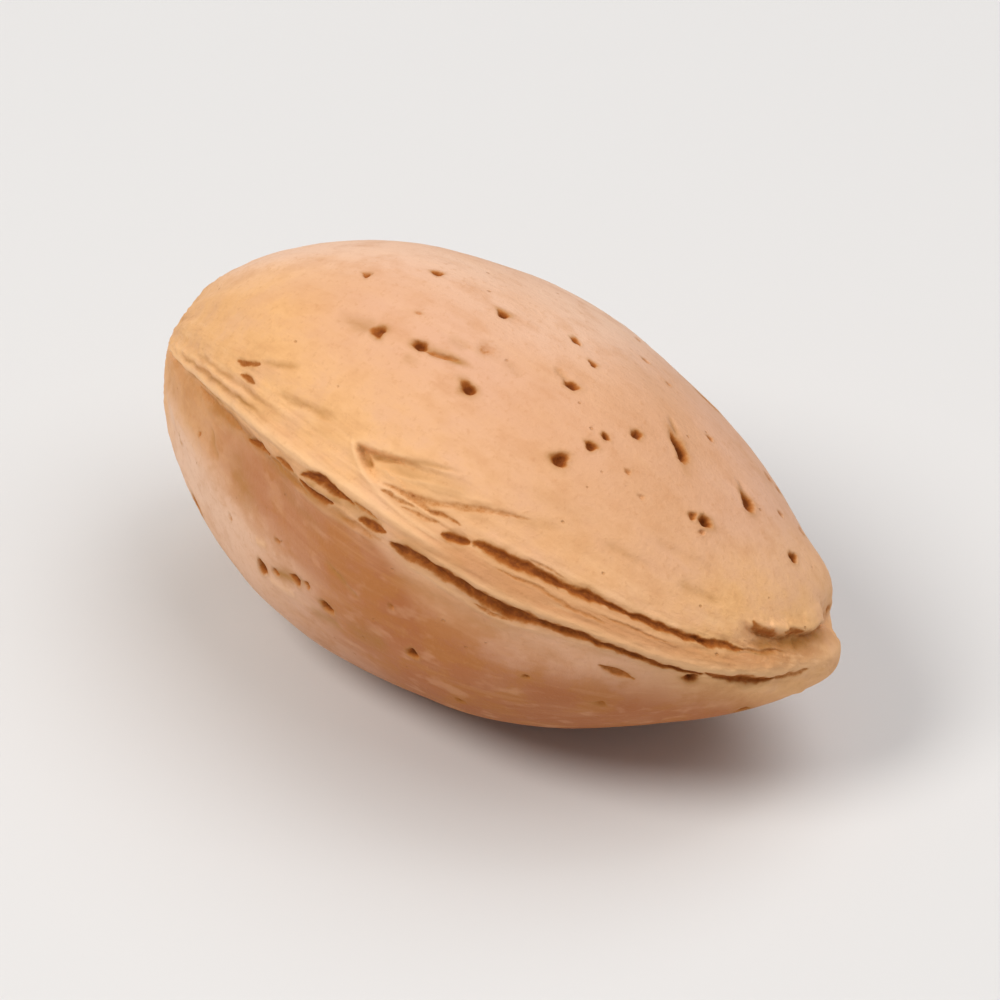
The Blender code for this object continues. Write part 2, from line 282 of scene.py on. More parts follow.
# Lines on the shell. A place is mm along, degrees round, and the line's half width in hundredths of a mm.
# Cuts are sharp and open: depth in half widths, how dark inside (brown, with painted shade), and places
cuts = {
    "firstSlit": (1.2, 0.85, ((-8.6, -5.8, 10), (-7.8, -4, 18), (-7.1, -2.2, 22), (-6.4, -0.6, 13))),
    "secondSlit": (1, 0.75, ((-5.9, 0.8, 9), (-5.5, 1.4, 17), (-4.9, 1.5, 19), (-4.4, 1.2, 11))),
    "eyeTop": (1.3, 1, ((-4.15, 1.6, 10), (-3.85, 3.6, 14), (-3.3, 5.4, 16), (-2.75, 6.6, 17),
        (-2.2, 6.9, 18), (-1.6, 6.6, 18), (-1, 6.2, 15), (-0.5, 6, 9))),
    "eyeCrumbs": (0.9, 0.55, ((-0.7, 7, 6), (-0.2, 7.2, 12), (0.3, 6.8, 10), (0.9, 7, 6))),
    "eyeBottom": (1.3, 1, ((-4.15, 0.9, 10), (-3.8, 0, 15), (-3.4, -0.4, 17), (-2.8, -0.4, 18),
        (-2.2, 0.3, 17), (-1.6, 1.3, 10))),
    "ridgeCrumbs": (0.3, 0.4, ((-13.2, -5.4, 10), (-12.1, -5.4, 20), (-10.8, -4.8, 25), (-9.6, -4.6, 20),
        (-8.7, -5, 10))),
    "slitCrumbs": (0.3, 0.36, ((-6.5, -2, 10), (-5.5, -1.4, 20), (-4.4, -2.4, 24), (-3.3, -3, 12))),
    "eyeCrumbsLow": (0.3, 0.36, ((-1.3, -1.6, 10), (-0.5, -1, 22), (0.4, -0.2, 24), (1.3, 0.4, 12))),
    "thirdSlit": (1.2, 0.95, ((-0.3, 2.6, 10), (0.2, 3.2, 19), (0.7, 3.6, 20), (1.1, 4.4, 12),
        (1.5, 5, 7))),
    "lowerGroove": (1.5, 1, ((1.5, 1.6, 21), (2.3, 2, 25), (3.4, 2.4, 24), (4.5, 2.5, 24), (5.5, 1.6, 25),
        (6.5, 0.4, 28), (7.3, -0.2, 31), (8, 0.6, 27), (8.8, 1.6, 22), (9.8, 2.3, 19), (11.2, 3.2, 16),
        (12.4, 2.2, 14), (13.6, 0.4, 12), (15, -2, 9))),
    "belowGroove": (1.2, 0.55, ((6, -3.2, 5), (7, -4.4, 9), (7.8, -3.2, 5))),
    "flakeLower": (0.8, 0.45, ((0.2, 15.2, 6), (1, 15.8, 10), (1.8, 16.4, 9), (2.4, 17, 5))),
    "flakeThread": (0.8, 0.4, ((0, 17.2, 5), (0.9, 18, 9), (1.8, 18.6, 10), (2.9, 18.8, 10),
        (3.7, 18.5, 6))),
    "split": (0.6, 0.37, ((0.9, 18, 7), (1.6, 19, 13), (2.4, 20.4, 16), (3.4, 23.2, 15), (4.4, 26.2, 13),
        (5.4, 29.4, 11), (6.8, 33.8, 7))),
    "splitShort": (0.9, 0.5, ((2.5, 17.6, 6), (3.1, 19.2, 13), (3.8, 19.8, 11), (4.5, 20.2, 6))),
    "splitJoin": (0.9, 0.4, ((1.4, 14.4, 5), (2.2, 14.9, 8), (3, 16, 9), (3.6, 17.2, 5))),
    "upperStart": (1.3, 1, ((3.7, 14.2, 11), (4.1, 14.6, 21), (4.6, 15.6, 19), (5.1, 16.9, 12))),
    "pitCrack": (1.1, 0.5, ((-2, 55.4, 10), (-1.5, 56.2, 15), (-0.8, 57.4, 13), (-0.2, 58.6, 6))),
    "upperGroove": (1.3, 1, ((4.95, 16.9, 12), (5.6, 18, 19), (6.7, 18.4, 22), (7.5, 18.8, 22),
        (8.3, 19.2, 20), (9.4, 19.7, 17), (10.8, 20.8, 16), (11.7, 21.4, 15), (12.5, 21.4, 14),
        (13.3, 21.2, 14), (14.1, 21.4, 16), (14.8, 23, 14))),
    "upperThread": (1, 0.35, ((7.5, 21.8, 4), (8.3, 22.4, 7), (9.2, 22.8, 4))),
    "upperEnd": (1, 0.9, ((14.1, 21.6, 10), (14.5, 22.6, 18), (14.95, 23.8, 20), (15.4, 24.9, 12),
        (15.9, 26.2, 6))),
    "ledgeBrown": (0, 0.3, ((15.8, 31, 18), (16.4, 37, 34), (16.9, 50, 36), (17.15, 82, 28))),
    "upperEndThread": (0.9, 0.45, ((15.7, 25.8, 5), (16.1, 28.5, 8), (16.5, 33, 8), (16.8, 37.5, 5))),
    "bandLine": (0.9, 0.4, ((6.3, 14, 5), (7.2, 14.2, 8), (8.2, 14.3, 8), (9, 14.6, 7), (10.3, 12.5, 8),
        (11.4, 12, 6))),
    "bandThread": (0.9, 0.3, ((10.8, 15.5, 5), (12.3, 15, 7), (13.8, 14.4, 5))),
    # a groove, widened and darkened with painted shadow where a neighbouring nut overlaps it
    "underNose": (1.1, 0.85, ((14.8, 0.5, 8), (15.5, -3.5, 18), (16.1, -6.5, 24), (16.5, -6.5, 23),
        (16.85, -4, 16))),
    "underNoseEnd": (1, 0.55, ((16.6, -5.5, 12), (16.95, -1, 15), (17.2, 6, 12), (17.35, 16, 6))),
    "underNoseBack": (1.3, 0.5, ((17.4, -125, 5), (17.1, -152, 9), (16.5, -165, 5))),
    "lipPocket": (0.6, 0.66, ((15.4, 48, 9), (15.6, 45.4, 17), (15.85, 44, 21), (16.15, 45.2, 15),
        (16.4, 49, 8))),
    "lipPocketFar": (0.6, 0.64, ((16.35, 52, 8), (16.5, 56, 18), (16.68, 61.5, 14), (16.8, 68, 8))),
    "lowSlot": (1, 0.66, ((11.4, -11, 8), (11.9, -13.2, 14), (12.4, -15.6, 15), (12.9, -18, 8))),
    "cheekSplit": (0.8, 0.7, ((-10.5, 22.4, 7), (-10, 23.2, 13), (-9.4, 24.6, 13), (-8.8, 25.8, 8))),
    "cheekSpot": (0.8, 0.7, ((-9.8, 18, 8), (-9.2, 18.8, 15), (-8.6, 19.4, 8))),
    "backFirst": (1.6, 0.9, ((-11, 181, 5), (-9.8, 179.5, 13), (-8.2, 180.5, 5))),
    "backSecond": (1.6, 0.9, ((-5.6, 179.6, 5), (-4.7, 180.6, 14), (-3.8, 180, 5))),
    "backThird": (1.6, 0.95, ((1, 180.6, 6), (2.4, 179.7, 17), (3.2, 180.4, 13), (4.4, 180, 5))),
    "backFourth": (1.6, 0.85, ((8, 179.6, 5), (8.9, 180.4, 12), (9.7, 180, 5))),
    "backHairs": (1.1, 0.35, ((-12.4, 176.5, 5), (-9.5, 176.8, 8), (-6.6, 176.4, 5))),
    "backHairsLow": (1.1, 0.35, ((-2.2, 183.6, 5), (0.6, 184, 8), (3.6, 183.5, 5))),
    "backHairsTip": (1.1, 0.35, ((4.6, 176, 5), (7, 175.6, 8), (10.5, 176.3, 5))),
}

# Strands stand proud: height in mm, how pale (pale fibre, with a painted highlight on the raised strand), and
# places
strands = {
    "ridge": (0.15, 0.85, ((-17.2, -2, 14), (-15, 1.4, 18), (-12.7, 3.6, 20), (-10.5, 5.3, 21),
        (-8.2, 6.4, 21), (-6, 7.3, 22), (-4, 8.6, 22), (-2.4, 9.8, 22), (-0.8, 10.4, 22), (0.9, 10, 22),
        (2.4, 9.9, 22), (3.8, 9.4, 20), (5.4, 8.9, 16))),
    "secondStrand": (0.07, 0.45, ((-15.8, 7.4, 12), (-13.2, 10, 16), (-10.8, 12.2, 17), (-8, 13.4, 14))),
    "thirdStrand": (0.04, 0.25, ((-13.6, 15, 12), (-10.6, 16.4, 16), (-7, 17, 16), (-4.6, 18, 12))),
    "eyeTissue": (0.1, 0.2, ((-3.8, 1.8, 8), (-3.2, 2.6, 14), (-2.5, 3.2, 17), (-1.5, 3.8, 12))),
    "belowEye": (0.05, 0.3, ((-4.6, -4.4, 10), (-3, -4.2, 15), (-1, -2.6, 15), (1, -1.6, 10))),
    "grooveEdge": (0.1, 0.75, ((2, 6, 14), (4.3, 6.6, 18), (7.2, 4.8, 20), (9.6, 6.4, 20), (11.5, 7, 20),
        (12.8, 6.2, 21), (14.5, 4.6, 24), (15.8, 4.2, 30), (16.5, 5, 34), (17, 9, 36), (17.3, 20, 36),
        (17.44, 60, 32), (17.42, 110, 28), (17.2, 150, 24), (16.6, 168, 16))),
    "grooveFoot": (0.05, 0.35, ((2.2, -3.2, 12), (4.3, -2.4, 16), (7, -6.2, 16), (9.6, -2.6, 12))),
    "bandUpper": (0.05, 0.4, ((5.2, 14.2, 12), (7.1, 15.2, 15), (9, 15.6, 14), (11.2, 16.8, 14),
        (13.2, 16.6, 13), (14.6, 17, 10))),
    "upperLip": (0.05, 0.25, ((5.4, 22, 14), (7.6, 23, 18), (10.4, 24.6, 18), (13, 24.4, 16),
        (14.6, 25, 12))),
    "flakeEdge": (0.07, 0.6, ((-2.5, 25.6, 8), (-2.2, 22.6, 13), (-1.5, 18.8, 14), (0, 14.2, 14),
        (2.2, 12.6, 13), (4.2, 12.6, 10))),
    "flakeFibre": (0.05, 0.45, ((-0.4, 16, 8), (1, 16.9, 10), (2.8, 17.4, 10), (4.6, 18, 8))),
    "flakeFibreHigh": (0.05, 0.3, ((-0.4, 20.6, 8), (1, 22.4, 12), (2.4, 26, 12), (4, 29.5, 8))),
    "paleSpeck": (0.06, 0.6, ((-6.6, -36.8, 14), (-6.2, -35.8, 24), (-5.8, -34.8, 14))),
    "roughPatch": (0.06, 0.35, ((-5.7, -47.5, 25), (-4.7, -46, 40), (-3.8, -45.4, 28))),
    "splitLip": (0.04, 0.25, ((2, 23.6, 8), (3.4, 26.8, 11), (5.2, 31.5, 8))),
    "lowerLip": (0.14, 0.25, ((15.8, -20, 26), (16.6, -24, 38), (17, -36, 40), (17.2, -80, 32))),
    "lipWave": (0.1, 0.1, ((15.95, 51, 24), (16.2, 54, 34), (16.4, 58, 26))),
    "lipWaveFar": (0.07, 0.1, ((16.5, 72, 26), (16.55, 84, 36), (16.45, 98, 26))),
}

# Folds are soft: depth in mm (less than 0 stands proud), how brown, and places
folds = {
    "trailing": (0.11, 0.45, ((-7.6, 20.4, 14), (-6.2, 22.2, 20), (-4.9, 24, 21), (-3.2, 26.2, 15))),
    "splitTail": (0.06, 0.45, ((-9.2, 26.2, 14), (-7.9, 29.3, 19), (-6.6, 33.5, 18))),
    "flakeCorner": (0.2, 0.95, ((-2.1, 23.2, 5), (-1.6, 22, 16), (-1.15, 20.9, 20), (-0.6, 19.6, 12))),
    "flakeCornerTop": (0.1, 0.75, ((-1.6, 22.4, 8), (-0.9, 23, 15), (-0.1, 24.6, 13), (0.6, 26.4, 8))),
    "flakeTail": (0.07, 0.5, ((-0.4, 24.2, 8), (0.6, 26.8, 14), (1.8, 30, 14), (3.4, 34, 10))),
    "flakeOlive": (0, 0.36, ((-0.8, 21.4, 20), (0.8, 24, 42), (2.6, 27, 50), (4.6, 30, 40))),
    "eyeBrown": (0.04, 0.8, ((-1.4, 5.2, 20), (-0.6, 5.4, 34), (0.3, 5.6, 36), (1.2, 5.4, 22))),
    "faintFirst": (0.02, 0.3, ((-1.6, 62, 20), (-0.9, 63, 34), (-0.2, 62, 20))),
    "faintSecond": (0.02, 0.3, ((-2.6, 51, 18), (-2.1, 51.4, 30), (-1.6, 51, 18))),
    "faintThird": (0.05, 0.22, ((1.2, 66.4, 20), (1.9, 66, 26), (2.5, 64.5, 20))),
    "eyeTail": (0.1, 0.75, ((-1.5, 4.6, 18), (-0.5, 5, 26), (0.6, 5.4, 28), (1.5, 5, 18))),
    "eyeStart": (0.06, 0.6, ((-5.2, 0.6, 12), (-4.6, 0.6, 16), (-4, 0.4, 12))),
    "eyeInside": (0, 0.7, ((-3.9, 1.6, 14), (-3, 2.8, 22), (-1.9, 3.6, 26), (-0.9, 4.4, 20))),
    # brown under the ridge, partly painted shade
    "ridgeBrown": (0.05, 0.65, ((-14.6, -6, 18), (-12.2, -6.4, 36), (-10, -5.4, 44), (-8, -4, 42),
        (-6, -2, 38), (-4.2, -2.6, 34), (-1.6, -1.6, 34), (0.6, 0.4, 28), (1.8, 1.8, 14))),
    "pitChain": (0.04, 0.8, ((-5.7, -44, 24), (-4.6, -40.6, 36), (-3.6, -38.2, 34), (-2.8, -36.4, 20))),
    "oliveLow": (0.02, 0.6, ((-3.2, -48, 35), (-2.1, -47.5, 60), (-1, -45.5, 35))),
    "oliveMid": (0.02, 0.55, ((-0.8, -43.5, 45), (0.5, -42.3, 80), (1.8, -41.5, 45))),
    "underFold": (0.07, 0.6, ((-1.9, -21, 14), (-1.2, -23.4, 22), (-0.6, -25.2, 22), (0, -27.6, 16),
        (0.5, -30, 10))),
    "aboveRidge": (0.1, 0.7, ((-15.4, 4.6, 7), (-13, 7, 10), (-10.7, 9.2, 12), (-8.8, 10.4, 12),
        (-6.4, 11.4, 7))),
    "aboveSecond": (0.06, 0.45, ((-14, 12.2, 9), (-11.6, 14, 12), (-9, 15, 12), (-6.4, 15.4, 8))),
    "lipLine": (0.05, 0.7, ((16.2, 45.5, 10), (16.45, 49.5, 13), (16.6, 54, 10))),
    "lipEnd": (0.06, 0.6, ((16.75, 62, 10), (16.92, 70, 13), (16.9, 80, 12), (16.8, 92, 10))),
    "lipMark": (0.08, 0.7, ((16.75, 58, 8), (16.92, 52, 12), (17.05, 44, 8))),
    "ledgeLine": (0.07, 0.65, ((15.7, 24, 8), (16.1, 26.5, 12), (16.65, 33, 13), (16.95, 41, 9))),
    "tipNotch": (0.62, 0.15, ((17, 92, 35), (16.7, 112, 60), (16.5, 132, 75), (16.45, 152, 75),
        (16.6, 172, 55))),
    "besideRidge": (0.06, 0.1, ((-12.5, 14, 35), (-9, 14.5, 35), (-5.5, 16, 35), (-2.5, 17, 30))),
    "ridgeShadow": (0.1, 0.3, ((-16.6, -8, 30), (-13, -4.4, 40), (-9.5, -3.4, 45), (-6, -5, 40),
        (-3, -6, 30))),
    "ridgeSpotFirst": (0.1, 0.8, ((-15.8, -4, 14), (-15.1, -3, 22), (-14.4, -2.4, 14))),
    "ridgeSpotSecond": (0.1, 0.8, ((-13.9, -1.8, 13), (-13.1, -1.2, 19), (-12.3, -0.9, 13))),
    "ridgeSpotThird": (0.11, 0.85, ((-12, -0.8, 15), (-11.2, -0.4, 24), (-10.4, -0.6, 15))),
    "underHollow": (0.22, 0, ((-15.5, -10, 90), (-12.5, -12, 150), (-9, -13, 190), (-5, -14, 170),
        (-1, -14, 100))),
    "olivePatch": (0.05, 0.5, ((-9.8, -13, 40), (-9.2, -19, 65), (-8.4, -23.5, 75), (-7.4, -26.5, 60),
        (-6.6, -28.5, 35))),
    "underCurve": (0.07, 0.55, ((-11.5, -14, 12), (-11.1, -18, 17), (-10.6, -22.5, 17), (-10, -25, 12))),
    "underDapple": (0.05, 0.3, ((-6.4, -9, 35), (-4.4, -12, 45), (-1.6, -13, 35))),
    "underLine": (0.06, 0.25, ((0.5, -9, 30), (4, -11, 40), (8, -13, 40), (11, -15, 30))),
    "splitFade": (0.05, 0.22, ((4.6, 27, 14), (5.6, 29.5, 24), (6.9, 33, 28), (8.4, 37, 24))),
    "upperSwell": (-0.05, 0, ((7, 26, 35), (9.5, 28, 42), (12.4, 28, 38))),
    "wrinkleFirst": (0.05, 0.24, ((9.4, 40, 20), (10.6, 41, 24), (11.8, 43, 18))),
    "wrinkleSecond": (0.06, 0.3, ((12.6, 43, 20), (13.5, 44, 26), (14.5, 46, 18))),
    "wrinkleThird": (0.03, 0.15, ((10.6, 51, 20), (12.2, 53, 24), (13.8, 57, 18))),
    "wrinkleFourth": (0.03, 0.1, ((5, 40, 30), (7.6, 41, 36), (10, 46, 30))),
    "pitTailStem": (0.08, 0.8, ((-6.6, 52.8, 22), (-5.6, 53.2, 32), (-4.5, 53.6, 30))),
    "pitTailLong": (0.08, 0.8, ((-2.6, 55.6, 24), (-1.4, 56.6, 26), (-0.4, 57.8, 24), (0.7, 59.2, 16))),
    "pitTailHigh": (0.1, 0.55, ((2.9, 74.2, 10), (3.45, 73, 16), (4.15, 71.8, 18))),
    "wedgeTail": (0.09, 0.6, ((7.55, 87.4, 8), (8.3, 84.8, 13), (9.1, 80.6, 16))),
    "tipPitTail": (0.08, 0.35, ((11.2, 91.8, 10), (11.8, 89.4, 14), (12.2, 87.4, 14))),
    "tipLedge": (0.06, 0.85, ((15.7, 33, 30), (16.4, 39, 42), (16.95, 54, 42), (17.15, 84, 36),
        (17.1, 120, 30))),
    "backFold": (0.06, 0.12, ((-13, 168, 34), (-9, 166, 34), (-4, 167, 30))),
    "backFoldLow": (0.065, 0.12, ((-10, -165, 34), (-4, -163, 34), (2, -166, 30))),
    "backFoldTip": (0.06, 0.12, ((1, 170, 30), (6, 167, 30), (11, 169, 26))),
}

# Steps, where a layer of shell ends. The lower side is on the left hand of the way they are listed.
# Depth in mm, how far in it fades, the edge's half width in mm, how dark the painted shade at the foot of the
# edge, how peeled inside (less than 0 is browned), the shares of the line over which it starts and ends, and
# places with no width
steps = {
    "flake": (0.24, 1.5, 0.12, 0.25, 1, (0.55, 0.12), ((4.8, 34, 0), (2.6, 30, 0), (1.2, 27.6, 0),
        (0, 25.8, 0), (-1, 24.4, 0), (-2, 22.6, 0), (-1.6, 20.4, 0), (-0.9, 18, 0), (0.2, 15.6, 0))),
    "tipLip": (0.4, 0.85, 0.12, 0.4, -0.8, (0.3, 0.16), ((16, 160, 0), (16.3, 140, 0), (16.6, 118, 0),
        (16.85, 98, 0), (16.95, 82, 0), (16.88, 68, 0), (16.66, 60, 0), (16.5, 51, 0), (16.2, 45.5, 0),
        (15.85, 43, 0), (15.5, 43.6, 0), (15.1, 46, 0))),
    "ridgeFoot": (0.1, 1.3, 0.16, 0, 0, (0.1, 0.15), ((1, 7.4, 0), (-1.6, 7.4, 0), (-4, 6, 0),
        (-6.5, 4.8, 0), (-8.9, 3.8, 0), (-12.1, 1.6, 0), (-14.6, -0.8, 0), (-16.8, -5, 0))),
}

# Pits. Each is mm along, degrees round, length, width, depth, turn, and which way its deep end lies
pits = {
    "keelSide": (
        (6.1, 52.4, 0.76, 0.74, 0.44, 0, 1),
        (-4.4, 53.6, 0.84, 0.56, 0.27, 0.1, 1),
        (-2.15, 56.1, 0.8, 0.5, 0.38, 0.1, -1),
        (0.9, 53.4, 0.9, 0.56, 0.42, -0.3, 1),
        (4.15, 71.7, 0.76, 0.52, 0.36, 0.1, 1),
        (11.9, 67.9, 0.7, 0.6, 0.42, 0.2, 1),
        (9, 80.6, 1.75, 0.62, 0.46, -0.5, 1),
        (12.17, 87.4, 1.15, 0.5, 0.38, -0.4, 1),
        (-0.64, 78.8, 0.72, 0.46, 0.34, -0.3, 1),
        (6.7, 60.6, 0.52, 0.46, 0.28, 0, 1),
        (6.85, 65.7, 0.46, 0.4, 0.26, 0, 1),
        (7.6, 72.9, 0.56, 0.46, 0.28, 0, 1),
        (14.7, 90, 0.54, 0.52, 0.34, 0, 1),
        (3.95, 82.5, 0.52, 0.34, 0.24, -0.3, 1),
        (-4.5, 80.2, 0.6, 0.4, 0.26, 0.1, 1),
        (-7.1, 69, 0.46, 0.36, 0.22, 0, 1),
        (-6.1, -45.2, 0.66, 0.8, 0.42, -0.2, -1),
        (-1.9, -40.7, 0.84, 0.62, 0.42, -0.2, 1),
        (3.1, -39.7, 0.66, 0.6, 0.34, 0, 1),
        (14.6, -9.5, 0.7, 0.56, 0.34, -0.1, 1),
    ),
    "faint": (  # shallow ones, seen only close up
        (11.42, 66, 0.42, 0.36, 0.2, 0.3, 1),
        (12.1, 64, 0.34, 0.24, 0.12, 0.9, 1),
        (2.45, 86.1, 0.66, 0.38, 0.26, -0.4, 1),
        (4.5, 103, 0.45, 0.32, 0.16, 0, 1),
        (6.1, 102, 0.36, 0.28, 0.14, 0, 1),
        (9.2, 95, 0.46, 0.32, 0.16, 0, 1),
        (8.5, 62, 0.38, 0.28, 0.1, 0, 1),
        (9.6, 59, 0.34, 0.28, 0.08, 0.4, 1),
        (0.3, 65.5, 0.9, 0.7, 0.1, 0, 1),
        (-3.4, 64, 0.34, 0.26, 0.1, 0.3, 1),
        (13, 104, 0.34, 0.28, 0.14, 0, 1),
        (-5.2, -42.3, 0.46, 0.42, 0.22, 0.3, 1),
        (-3.9, -39, 0.7, 0.58, 0.26, 0, 1),
        (-3.1, -37.2, 0.44, 0.4, 0.2, 0, 1),
        (-12, -24, 0.34, 0.26, 0.14, 0.3, 1),
        (-5.2, -30, 0.4, 0.28, 0.14, 0.2, 1),
        (2, -24, 0.36, 0.26, 0.14, 0, 1),
        (8.6, -30, 0.4, 0.28, 0.16, 0.2, 1),
    ),
    "smallCount": 32,
    "smallAlong": (-0.86, 0.93),
    "smallRound": (114, 302),
    "smallLength": (0.55, 1.25),
    "smallWidth": (0.5, 0.85),
    "smallDepth": 0.42,
    "smallTurn": 0.5,
    "smallGap": 2.3,
    "smoothBack": 9,
    "smoothSpot": 4.5,
    "seed": 11,
    "pinholes": 34,
    "pinholeAlong": (-0.88, 0.92),
    "pinholeRound": (112, 325),
    "pinholeSize": (0.24, 0.42),
    "pinholeShape": (1.3, 0.4),  # length and depth, by its width
    "pinholeSeed": 5,
    # Below, distances from a pit's middle are in shares of its half length and half width
    "wobble": 0.09,  # how uneven the outlines are
    "point": 0.22,  # how much narrower the shallow end is
    "deepStart": (-0.9, 0.5),
    "shallowEnd": 0.45,  # its share of the depth
    "bowl": (0.15, 1.2, 1.1),  # where the wall starts and ends, and the depth
    "rim": (1.35, 0.28, 0.04),  # how far out, how wide, how high
    "inside": (0.50, 1.35),
    "shade": (0.86, 0.22),  # how dark, and how much darker at the deep end
    "fullShade": 0.28,  # mm deep, from where it is all dark
    "halo": (0.9, 0.6, 0.55),  # the browned skin round it: how far out, how wide, how brown
}


def restingTurn():
    raised = Matrix.Rotation(math.radians(-form["keelRaised"]), 4, "X")
    lowered = Matrix.Rotation(math.radians(form["tipLowered"]), 4, "Y")
    return lowered @ raised


def smallPitPlaces(chooser, taken):  # the solid's own draw of its small pits
    restingSpot = restingTurn().inverted() @ Vector((0.0, 0.0, -form["lowerCheek"]))
    taken = list(taken)
    places = []
    while len(places) < pits["smallCount"]:
        u = chooser.uniform(*pits["smallAlong"])
        degrees = chooser.uniform(*pits["smallRound"])
        here = Vector(placeAt(u * halfLength, degrees))
        nearBack = abs(degrees - 180) < pits["smoothBack"]
        nearSpot = (here - restingSpot).length < pits["smoothSpot"]
        crowded = any((here - other).length < pits["smallGap"] for other in taken)
        if nearBack or nearSpot or crowded:
            continue
        taken.append(here)
        places.append((u * halfLength, degrees))
    return places


def allPits():
    found = list(pits["keelSide"])
    chooser = random.Random(pits["seed"])
    for x, degrees in smallPitPlaces(chooser, [Vector(placeAt(*pit[:2])) for pit in found]):
        length = chooser.uniform(*pits["smallLength"])
        width = length * chooser.uniform(*pits["smallWidth"])
        turn = chooser.uniform(-pits["smallTurn"], pits["smallTurn"])
        found.append((x, degrees, length, width, length * pits["smallDepth"], turn, 1))
    found += pits["faint"]
    chooser = random.Random(pits["pinholeSeed"])
    longer, deeper = pits["pinholeShape"]
    for _ in range(pits["pinholes"]):
        size = chooser.uniform(*pits["pinholeSize"])
        x = chooser.uniform(*pits["pinholeAlong"]) * halfLength
        degrees = chooser.uniform(*pits["pinholeRound"])
        found.append((x, degrees, size * longer, size, size * deeper, chooser.uniform(-1, 1), 1))
    return found


# How fine the mesh is, in millimetres
mesh = {
    "ballDivisions": 6,
    "rounds": 3,
    "tooLong": 1.4,  # edges this many times longer than wanted are halved
    "growth": 0.34,  # how fast the edges grow away from a detail
    "lineStep": 0.30,
    "lineLeast": 4,  # points along a line
    "cornerCuts": 2,
    "cornerShare": 0.25,
    "narrowFold": 0.3,  # half width, below which a fold gets finer edges
    "bandAlong": (-3.0, 16.0, 0.5),
    "bandRound": (4, 9, 14, 19),
    "farAway": 100.0,
}


def lineOf(places):  # points along a line with rounded corners, and its half width in mm at each
    line = np.array(places, dtype=float)
    line[:, 2] /= 100
    near = mesh["cornerShare"]
    for _ in range(mesh["cornerCuts"]):
        first = (1 - near) * line[:-1] + near * line[1:]
        second = near * line[:-1] + (1 - near) * line[1:]
        middle = np.stack([first, second], axis=1).reshape(-1, line.shape[1])
        line = np.concatenate([line[:1], middle, line[-1:]])
    spots = placeAt(line[:, 0], line[:, 1])
    travelled = np.concatenate([[0.0], np.cumsum(np.linalg.norm(np.diff(spots, axis=0), axis=1))])
    count = max(mesh["lineLeast"], int(travelled[-1] / mesh["lineStep"]))
    even = np.linspace(0.0, travelled[-1], count)
    line = np.stack([np.interp(even, travelled, column) for column in line.T], axis=1)
    return placeAt(line[:, 0], line[:, 1]), line[:, 2]


def nearLine(points, normals, places, reach):  # what lies near a line: how far off, which side, how far along
    spots, widths = lineOf(places)
    low, high = spots.min(axis=0) - reach, spots.max(axis=0) + reach
    index = np.flatnonzero(((points > low) & (points < high)).all(axis=1))
    here, facing = points[index], normals[index]
    gap = np.full(len(index), mesh["farAway"])
    side, share, width = np.zeros(len(index)), np.zeros(len(index)), np.ones(len(index))
    last = len(spots) - 1
    for segment in range(last):
        step = spots[segment + 1] - spots[segment]
        length = np.linalg.norm(step)
        direction = step / length
        away = here - spots[segment]
        travelled = np.clip(away @ direction, 0.0, length)
        away = away - travelled[:, None] * direction
        away = away - facing * np.einsum("ij,ij->i", away, facing)[:, None]
        distance = np.linalg.norm(away, axis=1)
        nearer = distance < gap
        gap[nearer] = distance[nearer]
        side[nearer] = np.einsum("ij,ij->i", np.cross(direction, away), facing)[nearer]
        part = travelled[nearer] / length
        share[nearer] = (segment + part) / last
        width[nearer] = widths[segment] + (widths[segment + 1] - widths[segment]) * part
    return index, gap, np.where(side > 0, gap, -gap), share, width


def endsFade(share, start, finish):
    return smoothStep(share, 0.0, start) * (1 - smoothStep(share, 1 - finish, 1.0))


def widest(places):
    return max(width for *_, width in places) / 100


def keepLarger(field, index, values):
    field[index] = np.maximum(field[index], values)


# The sections of lines. Distances across them are in their own half widths
section = {
    "cutReach": 4,
    "softReach": 3.5,
    "cutUneven": 0.4,  # how much the half width varies
    "softUneven": 0.25,
    "taper": (0.3, 1.1),  # over which a cut narrows at each end: share of its length, and mm, at most
    "endWidth": 0.45,  # what is left of its width there
    "endFade": 0.3,  # the share of the taper over which its depth sets in
    "wall": (0.15, 1.35),  # where a cut's wall starts and ends
    "deep": 0.85,
    "inside": (0.40, 1.75),  # the same for how dark it is painted: brown, with painted shade
    "dark": 0.96,
    "stainAndShade": (2.4, 0.55),  # how far it browns the skin round the cut, partly as painted shade, and how much
    "lip": (2.1, 0.6, 0.10, 0.20),  # how far out, how wide, how high, how pale: a painted highlight on the lip
    "strandEnds": 0.12,  # the share of a line over which it sets in
    "foldEnds": 0.25,
    "stepLip": (2.2, 2, 0.2),
    "stepShade": 1.2,
    "stepPale": (1.8, 0.3),
}


def carveCuts(points, normals, wear, fields):
    stainWidth, stained = section["stainAndShade"]
    lipAt, lipWidth, lipHeight, lipPale = section["lip"]
    taperShare, taperLength = section["taper"]
    endWidth = section["endWidth"]
    for depth, darkness, places in cuts.values():
        index, gap, _, share, width = nearLine(points, normals, places, section["cutReach"] * widest(places))
        length = np.linalg.norm(np.diff(lineOf(places)[0], axis=0), axis=1).sum()
        narrow = min(taperShare, taperLength / length)
        width = width * (1 + section["cutUneven"] * wear[index])
        width = width * (endWidth + (1 - endWidth) * endsFade(share, narrow, narrow))
        across = gap / width
        ends = endsFade(share, section["endFade"] * narrow, section["endFade"] * narrow)
        lip = ends * bump(across - lipAt, lipWidth)
        floor = section["deep"] * depth * (1 - smoothStep(across, *section["wall"]))
        inside = 1 - smoothStep(across, *section["inside"])
        fields["height"][index] += width * ends * (lipHeight * lip - floor)
        # brown with painted shade inside the cut
        keepLarger(fields["hollowShadeAndBrown"], index, section["dark"] * darkness * ends * inside)
        keepLarger(fields["stainAndShade"], index, stained * darkness * ends * bump(across, stainWidth))
        # painted highlight on the cut's lip
        keepLarger(fields["paleAndHighlight"], index, lipPale * lip * darkness)


